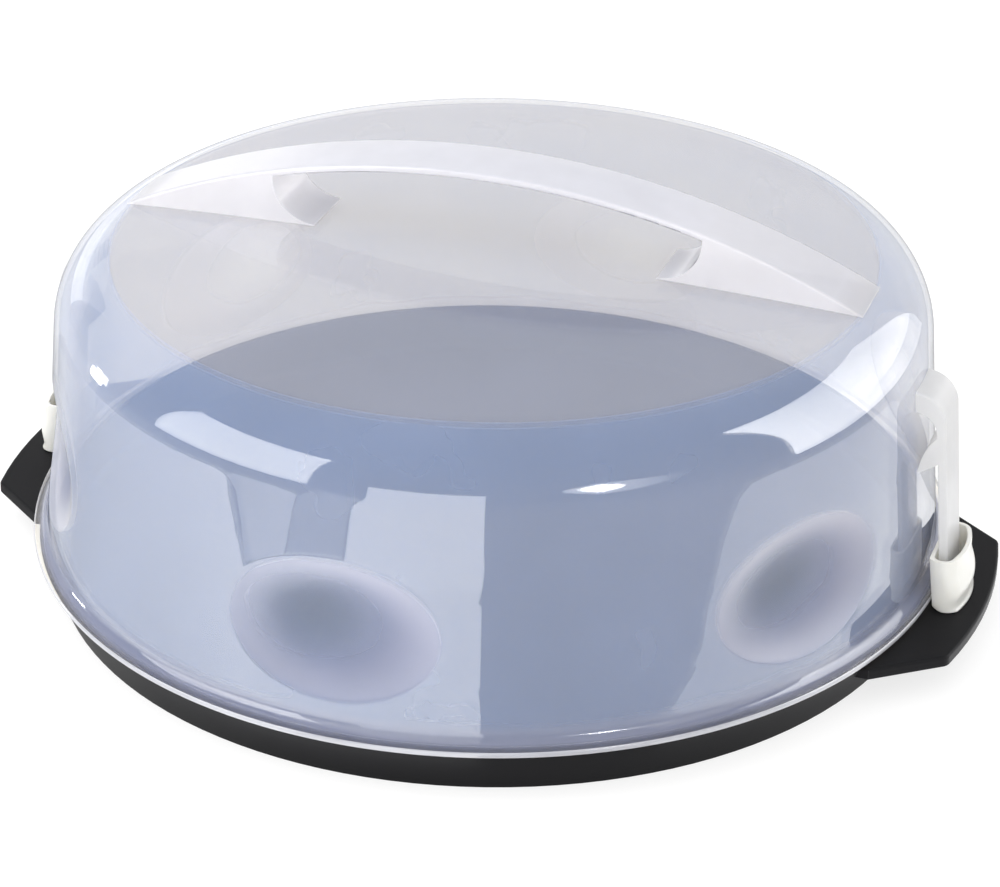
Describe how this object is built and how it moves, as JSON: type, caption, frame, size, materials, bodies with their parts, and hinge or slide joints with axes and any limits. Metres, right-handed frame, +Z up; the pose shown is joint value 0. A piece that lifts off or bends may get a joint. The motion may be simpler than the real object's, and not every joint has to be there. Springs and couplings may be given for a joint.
{
  "type": "cake carrier",
  "caption": "Round cake carrier: flat tray with an ear at each side, clear domed lid with a carry arch and side straps, and rocking clips that tie the straps down.",
  "frame": {"origin": "centre of the tray's foot, level with the table", "axes": "+X through both ears and along the carry arch, +Z up; the object is the same from both sides of each vertical mid-plane"},
  "size_m": [0.365, 0.33, 0.1524],
  "materials": {
    "tray_black": "black polypropylene, fine matte texture",
    "lid_clear": "milky translucent polypropylene, glossy",
    "clip_ivory": "ivory plastic, satin"
  },
  "bodies": {
    "tray": {"base_tray": "tray_black"},
    "left_clip": {"clip_left": "clip_ivory"},
    "lid": {"lid_dome": "lid_clear", "lid_handle": "lid_clear", "lid_strap_left": "lid_clear", "lid_strap_right": "lid_clear"},
    "right_clip": {"clip_right": "clip_ivory"}
  },
  "joints": [
    {"name": "lid_lift", "type": "slide", "parent": "tray", "child": "left_clip", "axis": [0, 0, 1], "range_m": [0, 0.15]},
    {"name": "lid_tip", "type": "hinge", "parent": "left_clip", "child": "lid", "pos_m": [-0.17019, 0, 0.022], "axis": [0, -1, 0], "range_deg": [0, 9]},
    {"name": "right_clip_rock", "type": "hinge", "parent": "lid", "child": "right_clip", "pos_m": [0.17019, 0, 0.022], "axis": [0, -1, 0], "range_deg": [0, 9]}
  ]
}
